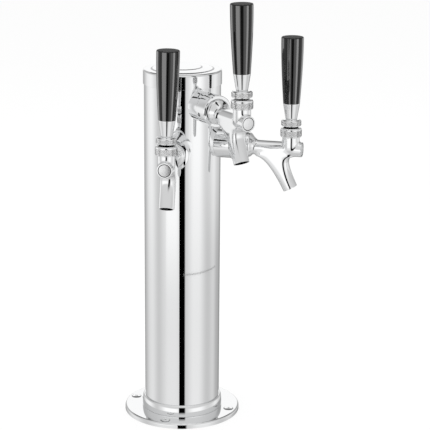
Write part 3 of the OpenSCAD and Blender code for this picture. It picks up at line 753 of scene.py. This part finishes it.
class TOWER_OT_castings(bpy.types.Operator):
    """Cast faucet bodies, blended smooth, trimmed and bored"""

    bl_idname = "tower.castings"
    bl_label = "Faucet castings"

    def execute(self, context):
        casting = join([self.barrel(), self.neck(), self.spout()], "faucet_casting")
        modifier = casting.modifiers.new("Blend", "REMESH")
        modifier.mode = "VOXEL"
        modifier.voxel_size = context.scene.beer_tower.casting_voxel
        modifier.use_smooth_shade = True
        bpy.ops.object.modifier_apply(modifier=modifier.name)
        modifier = casting.modifiers.new("Polish", "SMOOTH")
        modifier.factor = 0.5
        modifier.iterations = 70
        bpy.ops.object.modifier_apply(modifier=modifier.name)
        cut(casting, self.nose_trim())
        cut(casting, self.mouth_trim())
        cut(casting, self.bores())
        only(casting)
        bpy.ops.object.shade_smooth_by_angle(angle=math.radians(38))
        dress(
            casting,
            "Chrome plate",
            [("Shaded recess", self.in_nose_groove), ("Satin chrome", self.on_nose_plug)],
        )
        set_at_taps(
            casting, "faucet_casting", "faucet_body", "tower", tap_place
        )
        return {"FINISHED"}

    def in_nose_groove(self, place):
        """True in the ring groove round the nose's plug."""
        radius = math.hypot(place.y, place.z - AXIS_Z)
        return 5.55 < radius < 6.3 and NOSE_X - 1.2 < place.x < NOSE_X - 0.3

    def on_nose_plug(self, place):
        """True on the flat face of the nose's plug."""
        radius = math.hypot(place.y, place.z - AXIS_Z)
        return radius < 5.6 and NOSE_X - 0.6 < place.x < NOSE_X + 0.5

    def barrel(self):
        """Rear flange, hub with its hollow flare, barrel and the blank of the nose."""
        flange, hub, flare, flare_end, steps = 13.2, 12.3, 18, 85.59, 14
        lip = NUT_LIP_X - 0.05
        angles = [math.radians(30 + 60 * i / steps) for i in range(1, steps + 1)]
        rear = turned(
            "rear",
            [(0, BODY_X), (flange, BODY_X), (flange, lip), (hub, lip), (hub, HUB_END_X)]
            + [(21.3 - flare * math.sin(a), flare_end - flare * math.cos(a)) for a in angles]
            + [(0, flare_end)],
            sides=SMALL_SIDES,
        )
        turn_to_x(rear)
        start, bar_r, nose_r, end = 68, 7.4, 7.5, NOSE_X + 1.2
        bar = turned(
            "bar",
            [(0, start), (bar_r, start), (bar_r, NECK_X), (nose_r, NECK_X + 1), (nose_r, end)]
            + [(0, end)],
            sides=SMALL_SIDES,
        )
        turn_to_x(bar, AXIS_Z)
        return join([rear, bar], "barrel")

    def neck(self):
        """Neck that takes the lever's ball, with the bonnet's thread as a plain band."""
        base, shoulder, top, outer, thread = -6.15, 11.95, 16.05, 8.5, 7.9
        neck = turned(
            "neck",
            [(0, base), (6.4, base), (outer, -1.3), (outer, shoulder), (thread, shoulder)]
            + [(thread, top), (0, top)],
            sides=SMALL_SIDES,
        )
        neck.location.x = NECK_X * MM
        settle(neck)
        return neck

    def spout(self):
        """Spout, bridged through rounded sections between its rear and front edge curves."""
        mouth = Vector((MOUTH_X, MOUTH_Z))
        tilt = math.radians(MOUTH_TILT)
        along = Vector((math.sin(tilt), -math.cos(tilt)))
        across = Vector((math.cos(tilt), math.sin(tilt)))
        rear_root, front_root = Vector((74.99, -10.26)), Vector((113.99, -9.4))
        rear_lip, front_lip = mouth - 7.4 * across, mouth + 7.4 * across
        rear = (rear_root, rear_root + Vector((9.75, 0)), rear_lip - 20.03 * along, rear_lip)
        front = (front_root, front_root - Vector((10.92, 0)), front_lip - 16.41 * along, front_lip)
        sections = [(Vector((76, AXIS_Z)), Vector((112, AXIS_Z)), 7.35, 4.5)]
        steps = 20
        for i in range(steps + 1):
            t = i / steps
            ease = t * t * (3 - 2 * t)
            sections.append(
                (bend_point(rear, t), bend_point(front, t), 7.4 + 0.35 * ease, 4.5 - 2.5 * ease)
            )
        end = along * 1.6
        sections.append((rear_lip + end, front_lip + end, 7.75, 2))
        hoops = [self.hoop(*section) for section in sections]
        spout = join(hoops, "spout")
        edit(spout)
        bpy.ops.mesh.select_all(action="SELECT")
        bpy.ops.mesh.bridge_edge_loops(type="SINGLE")
        for hoop in (0, len(sections) - 1):
            rear_edge, front_edge = sections[hoop][:2]
            middle = (rear_edge + front_edge) / 2
            flat = (front_edge - rear_edge).normalized()
            normal = Vector((-flat.y, flat.x))
            select_edges(
                lambda co, m=middle, n=normal: abs((Vector((co.x, co.z)) / MM - m).dot(n)) < 0.02
            )
            bpy.ops.mesh.edge_face_add()
        bpy.ops.mesh.select_all(action="SELECT")
        bpy.ops.mesh.normals_make_consistent(inside=False)
        bpy.ops.object.mode_set(mode="OBJECT")
        return spout

    def hoop(self, rear, front, half_width, square):
        """One rounded-square section of the spout, as a hoop of corners."""
        deselect()
        bpy.ops.mesh.primitive_circle_add(vertices=SMALL_SIDES, radius=1)
        hoop = bpy.context.object
        middle, half = (rear + front) / 2, (front - rear) / 2
        for corner in hoop.data.vertices:
            along, side = (
                math.copysign(abs(part) ** (2 / square), part) for part in corner.co[:2]
            )
            flat = (middle + half * along) * MM
            corner.co = (flat.x, side * half_width * MM, flat.y)
        return hoop

    def nose_trim(self):
        """Ring-shaped cutter that leaves the nose's rounded rim and its shallow recess."""
        trim = turned(
            "nose_trim",
            [(0, NOSE_X + 3), (9.5, NOSE_X + 3), (9.5, NOSE_X - 0.8)]
            + arc((7.0, NOSE_X - 0.8), (0.5, 0.8), 0, 90, 8)
            + [(6.35, NOSE_X - 0.02), (6.2, NOSE_X - 0.2), (6.15, NOSE_X - 0.95)]
            + [(5.7, NOSE_X - 0.95), (5.6, NOSE_X - 0.28), (5.3, NOSE_X - 0.2)]
            + [(0, NOSE_X - 0.15)],
            sides=96,
        )
        turn_to_x(trim, AXIS_Z)
        return trim

    def mouth_trim(self):
        """Block that cuts the spout square at its mouth."""
        deselect()
        size = 20 * MM
        bpy.ops.mesh.primitive_cube_add(size=size, location=(0, 0, -size / 2))
        block = bpy.context.object
        settle(block)
        block.matrix_world = mouth_frame()
        settle(block)
        return block

    def bores(self):
        """The barrel's, neck's and spout's bores as one cutter."""
        chamber, bore, guide = 8.5, 5, 3.25
        start, bore_end, guide_end = BODY_X - 1, 112.6, 119.2
        barrel = turned(
            "barrel_bore",
            [(0, start), (chamber, start), (chamber, 63.95), (bore, 67.45), (bore, bore_end)]
            + [(guide, bore_end), (guide, guide_end), (0, guide_end)],
            sides=SMALL_SIDES,
        )
        turn_to_x(barrel, AXIS_Z)
        slot, stack, bottom, floor, top = 4.63, 6.6, -7.7, -5.4, 7.3
        neck = turned(
            "neck_bore",
            [(0, bottom), (slot, bottom), (slot, floor), (stack, floor), (stack, top), (0, top)],
            sides=SMALL_SIDES,
        )
        neck.location = (NECK_X * MM, 0, BALL_Z * MM)
        settle(neck)
        mouth, straight, root = 6.3, 12, (4.6, 44.2)
        spout = turned(
            "spout_bore",
            [(0, -1), (mouth, -1), (mouth, straight), root, (0, root[1])],
            sides=SMALL_SIDES,
        )
        spout.matrix_world = mouth_frame()
        settle(spout)
        cut(barrel, neck, "UNION")
        cut(barrel, spout, "UNION")
        return barrel


def bend_point(points, t):
    """Point at share t of a cubic Bezier curve."""
    a, b, c, d = points
    return (1 - t) ** 3 * a + 3 * (1 - t) ** 2 * t * b + 3 * (1 - t) * t**2 * c + t**3 * d


def mouth_frame():
    """The mouth's centre, with its upright axis up the spout."""
    return Matrix.Translation((MOUTH_X * MM, 0, MOUTH_Z * MM)) @ Matrix.Rotation(
        math.radians(-MOUTH_TILT), 4, "Y"
    )


def band_rings(radius, low, high, rows):
    """Even rings for a band that is to be knurled."""
    return [(radius, low + (high - low) * i / rows) for i in range(rows + 1)]


class TOWER_OT_bonnets(bpy.types.Operator):
    """Knurled bonnets that hold the levers in the faucets' necks"""

    bl_idname = "tower.bonnets"
    bl_label = "Bonnets"

    def execute(self, context):
        low, high, rows, band = 1.65, 8.0, 7, 10.25
        base, floor, top = 0.95, 6.35, 10.3
        stem, thread, skirt, edge = 5.8, 7.95, 8.65, 10.2
        bonnet = turned(
            "bonnet",
            [(thread, 2.2), (skirt, 2.2), (skirt, base), (9.9, base, 0.1), (edge, 1.35)]
            + band_rings(band, low, high, rows)
            + [(edge, 8.3)]
            + arc((8.2, 8.4), (2.0, 1.9), 10, 90, 9)
            + [(7.05, top, 0.15), (stem, 7.45), (stem, floor), (thread, floor)],
            sides=KNURLS,
        )
        knurl(bonnet, low, high, context.scene.beer_tower.knurl_depth)
        smooth(bonnet, 20)
        dress(
            bonnet,
            "Chrome plate",
            [
                ("Knurled chrome", lambda co: low < co.z < high and co.xy.length > 10.15),
                ("Shaded recess", lambda co: co.z > 6 and co.xy.length < 7),
            ],
        )
        made = set_at_taps(
            bonnet, "knurled_bonnet", "bonnet", "tower", neck_place
        )
        light_recess(made)
        return {"FINISHED"}


class TOWER_OT_handles(bpy.types.Operator):
    """Knurled lever collars, tapered ferrules and black grips"""

    bl_idname = "tower.handles"
    bl_label = "Handles"

    def execute(self, context):
        low, high, rows, band = 12.5, 16.8, 5, 9.65
        recess, roof, edge = 8.6, 13.12, 9.6
        collar = turned(
            "collar",
            [(STUD_R, roof), (recess, roof), (recess, COLLAR_BASE_H)]
            + [(9.3, COLLAR_BASE_H, 0.15), (edge, 12.3)]
            + band_rings(band, low, high, rows)
            + [(edge, 17.1, 0.15), (8.1, COLLAR_TOP_H, 0.3), (STUD_R, COLLAR_TOP_H)],
            sides=KNURLS,
        )
        knurl(collar, low, high, context.scene.beer_tower.knurl_depth)
        smooth(collar, 20)
        dress(
            collar,
            "Chrome plate",
            [
                ("Knurled chrome", lambda co: low < co.z < high and co.xy.length > 9.55),
                ("Shaded recess", lambda co: co.z < 13.2 and co.xy.length < 8.65),
            ],
        )
        made = set_at_taps(
            collar, "knurled_collar", "lever_collar", "{tap}_handle", lever_place
        )
        light_recess(made)
        foot, top = FERRULE_H
        ferrule = turned(
            "ferrule",
            [(STUD_R, foot), (5.6, foot, 0.15), (HANDLE_R, top - 0.6, 0.3)]
            + [(HANDLE_R, top, 0.12), (STUD_R, top)],
        )
        smooth(ferrule)
        dress(ferrule, "Chrome plate")
        set_at_taps(
            ferrule, "tapered_ferrule", "handle_ferrule", "{tap}_handle",
            lever_place,
        )
        base, top = GRIP_H
        grip = self.grip(base, top)
        dress(
            grip,
            "Black gloss plastic",
            [("Dull black plastic", lambda co: co.z > top - 0.3 and co.xy.length < 10.6)],
        )
        made = set_at_taps(
            grip, "black_grip", "handle_grip", "{tap}_handle", lever_place
        )
        for piece in made:
            lit_collection().objects.link(piece)
        return {"FINISHED"}

    def grip(self, base, top):
        """Round grip that widens upwards, with the stud's hole in its foot."""
        wall, steps, swell = top - base - 2.0, 26, 2.7
        hole = base + 11.98
        outer = (
            [(0, hole), (STUD_R, hole), (STUD_R, base), (HANDLE_R, base, 0.12)]
            + [
                (HANDLE_R + swell * math.sin(math.pi / 2 * i / steps), base + wall * i / steps)
                for i in range(1, steps + 1)
            ]
            + arc((9.9, top - 1.3), (1.0, 1.2), 8, 90, 12)
            + [(7, top - 0.03), (3, top - 0.01), (0, top)]
        )
        grip = turned("grip", outer)
        smooth(grip)
        return grip


def lit_collection():
    """The pieces that the grip lamps light."""
    name = "Lit by the grip lamps"
    return bpy.data.collections.get(name) or bpy.data.collections.new(name)


class TOWER_OT_cad_finishes(bpy.types.Operator):
    """Finishes for the CAD nodes that keep their own shape"""

    bl_idname = "tower.cad_finishes"
    bl_label = "CAD finishes"

    def execute(self, context):
        materials = finishes()
        slots = {
            "polished_steel": "Polished steel",
            "chrome_plate": "Chrome plate",
            "steel": "Turned steel",
            "brass": "Turned brass",
            "rubber": "Black rubber",
            "white_plastic": "White plastic",
            "black_plastic": "Black plastic",
            "black_gloss": "Black gloss plastic",
        }
        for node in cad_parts.values():
            for slot in node.material_slots:
                slot.material = materials[slots[slot.material.name.split(".")[0]]]
        # The left and right levers get a near-black steel as painted shade on their stems in the
        # gap; the middle lever keeps its light finish, because light reaches its stem
        for tap in ("left", "right"):
            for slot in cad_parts[f"{tap}_lever"].material_slots:
                slot.material = materials["Painted shade steel"]
        return {"FINISHED"}


class TOWER_OT_studio(bpy.types.Operator):
    """Camera, floor, surround and lamps"""

    bl_idname = "tower.studio"
    bl_label = "Studio"

    def execute(self, context):
        studio = context.scene.beer_tower_studio
        self.camera(context, studio)
        self.floor(studio)
        self.crease(studio)
        self.surround(context, studio)
        self.lamps(context)
        context.scene.view_settings.view_transform = "Standard"
        return {"FINISHED"}

    def camera(self, context, studio):
        """Camera fitted to the photograph."""
        pitch, yaw, roll = studio.camera_height_angle, studio.camera_yaw, studio.camera_roll
        distance = studio.camera_distance
        place = Vector(
            (0, -distance * math.cos(pitch), studio.target_height + distance * math.sin(pitch))
        )
        ahead = Vector(
            (math.sin(yaw) * math.cos(pitch), math.cos(yaw) * math.cos(pitch), -math.sin(pitch))
        )
        right = ahead.cross(Vector((0, 0, 1))).normalized()
        up = right.cross(ahead)
        rolled_right = right * math.cos(roll) + up * math.sin(roll)
        rolled_up = up * math.cos(roll) - right * math.sin(roll)
        facing = Matrix((rolled_right, rolled_up, -ahead)).transposed().to_4x4()
        bpy.ops.object.camera_add()
        camera = context.object
        camera.name = "Camera"
        camera.matrix_world = (
            Matrix.Rotation(studio.camera_turn, 4, "Z") @ Matrix.Translation(place) @ facing
        )
        camera.data.sensor_width = SENSOR_WIDTH
        camera.data.lens = studio.focal_pixels * SENSOR_WIDTH / PHOTO_WIDTH
        camera.data.clip_end = 50
        context.scene.camera = camera

    def floor(self, studio):
        """Plain floor that glows a little to the camera, and that no reflection shows."""
        deselect()
        bpy.ops.mesh.primitive_circle_add(vertices=96, radius=6, fill_type="NGON")
        floor = bpy.context.object
        floor.name = "Floor"
        finish = new_material("Plain floor")
        grain = finish.noise(finish.object_place(), 30)
        tint = finish.tint(grain, studio.floor_colour, 0.99)
        matte = finish.node("ShaderNodeBsdfDiffuse", {}, {"Color": tint})
        glow = finish.node("ShaderNodeEmission", {}, {"Strength": 1.04})
        dim = finish.node(
            "ShaderNodeMixShader", {}, {0: 0.72, 1: matte.outputs[0], 2: glow.outputs[0]}
        )
        clear = finish.node("ShaderNodeBsdfTransparent")
        path = finish.node("ShaderNodeLightPath")
        seen = finish.node(
            "ShaderNodeMixShader",
            {},
            {0: path.outputs["Is Camera Ray"], 1: matte.outputs[0], 2: dim.outputs[0]},
        )
        final = finish.node(
            "ShaderNodeMixShader",
            {},
            {0: path.outputs["Is Glossy Ray"], 1: seen.outputs[0], 2: clear.outputs[0]},
        )
        finish.show(final)
        floor.data.materials.append(finish.material)

    def crease(self, studio):
        """The joint of the studio's floor and right front panel, as the column reflects it."""
        radius, widening, start, end = 0.523, 1.009, 4, 118
        deselect()
        bpy.ops.mesh.primitive_circle_add(vertices=240, radius=radius, location=(0, 0, 0.0005))
        crease = bpy.context.object
        crease.name = "Floor joint"
        settle(crease)
        edit(crease)

        def outside(co):
            aside = math.degrees(math.atan2(co.x, -co.y) - studio.camera_turn)
            return not start < aside < end

        select_edges(outside)
        bpy.ops.mesh.delete(type="EDGE")
        bpy.ops.mesh.select_all(action="SELECT")
        bpy.ops.mesh.extrude_edges_move()
        bpy.ops.transform.resize(value=(widening, widening, 1), center_override=(0, 0, 0))
        bpy.ops.object.mode_set(mode="OBJECT")
        finish = new_material("Floor joint")
        finish.show(finish.node("ShaderNodeEmission", {}, {"Strength": 0.3}))
        crease.data.materials.append(finish.material)
        crease.visible_camera = False
        crease.visible_diffuse = False
        crease.visible_shadow = False

    def surround(self, context, studio):
        """Plain light surround with brighter panels and a dark slit towards the camera.

        Turns are degrees to the right of the camera's side, and heights are sines.
        """
        world = bpy.data.worlds.new("Surround")
        context.scene.world = world
        world.use_nodes = True
        finish = Finish(world.node_tree)
        way = finish.node("ShaderNodeTexCoord").outputs["Generated"]
        turn = studio.camera_turn
        towards = (math.sin(turn), -math.cos(turn), 0)
        rightwards = (math.cos(turn), math.sin(turn), 0)

        def along(axis):
            made = finish.node(
                "ShaderNodeVectorMath", {"operation": "DOT_PRODUCT"}, {0: way, 1: axis}
            )
            return finish.value(made, "Value")

        azimuth = finish.value(
            finish.node(
                "ShaderNodeMath",
                {"operation": "ARCTAN2"},
                {0: along(rightwards), 1: along(towards)},
            )
        )
        height = along((0, 0, 1))

        def panel(centre, half, soft):
            """One round a turn, and nought outside its soft edges."""
            offset = abs(azimuth - math.radians(centre))
            return 1 - finish.soft_step(offset, math.radians(half), math.radians(half + soft))

        def between(value, start, full, fade, end):
            """One from full to fade, and nought before start and after end."""
            return finish.soft_step(value, start, full) * (1 - finish.soft_step(value, fade, end))

        aside = abs(azimuth)
        rear = finish.soft_step(aside, math.radians(95), math.radians(140))
        front_panels = (
            0.27 * panel(-32, 8, 42)
            + 0.27 * panel(-114, 4, 38)
            + 0.31 * panel(43, 6, 36)
            + 0.04 * panel(103, 2, 14)
            + 0.12 * panel(125, 10, 22)
        )
        reach = between(height, -0.85, -0.5, 0, 0.2)
        lift = 0.85 + 0.6 * finish.soft_step(height, -0.34, -0.2)
        ceiling = finish.soft_step(height, 0.8, 0.95) * panel(0, 80, 60)
        backdrop = finish.soft_step(aside, math.radians(155), math.radians(168))
        bright = (
            studio.surround
            - 0.12 * rear
            + front_panels * reach * lift
            + 0.09 * panel(0, 40, 60) * finish.soft_step(height, 0, 0.2)
            + 0.22 * ceiling
            - 0.12 * panel(145, 12, 20) * (1 - finish.soft_step(height, 0.3, 0.6))
            + 0.12 * panel(-32, 14, 16) * between(height, -0.33, -0.27, 0.02, 0.12)
            + 0.13 * panel(115, 25, 25) * between(height, -0.3, -0.235, 0.02, 0.12)
            + 0.55 * backdrop * between(height, -0.12, 0, 0.5, 0.56)
            - 0.34 * rear * between(height, 0.52, 0.6, 0.8, 0.9)
            - 0.26 * backdrop * between(height, -0.8, -0.6, -0.3, -0.15)
        )
        slit = between(azimuth, *(math.radians(edge) for edge in (-9.3, -8.6, 6.5, 11)))
        level_band = 1 - finish.soft_step(abs(height + 0.2), 0.4, 0.7)
        shade = bright * (1 - slit * level_band)
        path = finish.node("ShaderNodeLightPath")
        reflected = finish.value(path, "Is Glossy Ray").largest(
            finish.value(path, "Is Transmission Ray")
        )
        camera = finish.value(path, "Is Camera Ray")
        ambient = 0.85
        strength = camera + reflected * shade + (1 - camera.largest(reflected)) * ambient
        background = finish.node(
            "ShaderNodeBackground", {}, {"Color": (1, 1, 1, 1), "Strength": strength}
        )
        finish.node("ShaderNodeOutputWorld", {}, {"Surface": background.outputs[0]})

    def lamps(self, context):
        """A large overhead lamp, and strips that light only the black grips."""
        self.lamp(context, "Overhead lamp", (0, 1.6), 20, 1.5, 1.5, 9, False)
        away, high = 0.7, 0.64
        for name, centre, half, radiance in (
            ("Left edge strip", -117, 16, 2.0),
            ("Left strip", -34, 19, 4.2),
            ("Right inner strip", 34, 13, 1.0),
            ("Right outer strip", 54, 9, 5.0),
            ("Right edge strip", 122, 16, 1.3),
        ):
            wide = 2 * away * math.tan(math.radians(half))
            power = radiance * math.pi * wide * high
            lamp = self.lamp(context, name, (away, high / 2), centre, wide, high, power, True)
            lamp.light_linking.receiver_collection = lit_collection()

    def lamp(self, context, name, place, turn, wide, high, power, level):
        """An area lamp at a distance, height and turn from the camera's side.

        A level one faces the axis and shows in what it lights, and the other does neither.
        """
        away, up = place
        angle = context.scene.beer_tower_studio.camera_turn + math.radians(turn)
        spot = Vector((math.sin(angle) * away, -math.cos(angle) * away, up))
        target = Vector((0, 0, up if level else 0.2))
        bpy.ops.object.light_add(type="AREA")
        lamp = context.object
        lamp.name = lamp.data.name = name
        lamp.data.shape = "RECTANGLE"
        lamp.data.size, lamp.data.size_y = wide, high
        lamp.data.energy = power
        lamp.matrix_world = Matrix.Translation(spot) @ (target - spot).to_track_quat(
            "-Z", "Y"
        ).to_matrix().to_4x4()
        lamp.visible_camera = False
        if not level:
            lamp.visible_glossy = False
        return lamp


class TOWER_PT_panel(bpy.types.Panel):
    """Lists the tower's operators in the sidebar"""

    bl_label = "Beer Tower"
    bl_idname = "TOWER_PT_panel"
    bl_space_type = "VIEW_3D"
    bl_region_type = "UI"
    bl_category = "Beer Tower"

    def draw(self, context):
        for settings in (context.scene.beer_tower, context.scene.beer_tower_studio):
            for name in settings.bl_rna.properties.keys():
                if name not in ("rna_type", "name"):
                    self.layout.prop(settings, name)
        for operator in OPERATORS:
            self.layout.operator(operator.bl_idname)


OPERATORS = (
    TOWER_OT_cad_finishes,
    TOWER_OT_cap,
    TOWER_OT_foot,
    TOWER_OT_castings,
    TOWER_OT_bonnets,
    TOWER_OT_handles,
    TOWER_OT_studio,
)
CLASSES = (StudioSettings, TowerSettings, *OPERATORS, TOWER_PT_panel)


def register():
    for item in CLASSES:
        bpy.utils.register_class(item)
    bpy.types.Scene.beer_tower = bpy.props.PointerProperty(type=TowerSettings)
    bpy.types.Scene.beer_tower_studio = bpy.props.PointerProperty(type=StudioSettings)


def unregister():
    del bpy.types.Scene.beer_tower_studio
    del bpy.types.Scene.beer_tower
    for item in reversed(CLASSES):
        bpy.utils.unregister_class(item)


def main():
    register()
    bpy.ops.tower.cad_finishes()
    bpy.ops.tower.cap()
    bpy.ops.tower.foot()
    bpy.ops.tower.castings()
    bpy.ops.tower.bonnets()
    bpy.ops.tower.handles()
    bpy.ops.tower.studio()


if __name__ == "__main__":
    main()
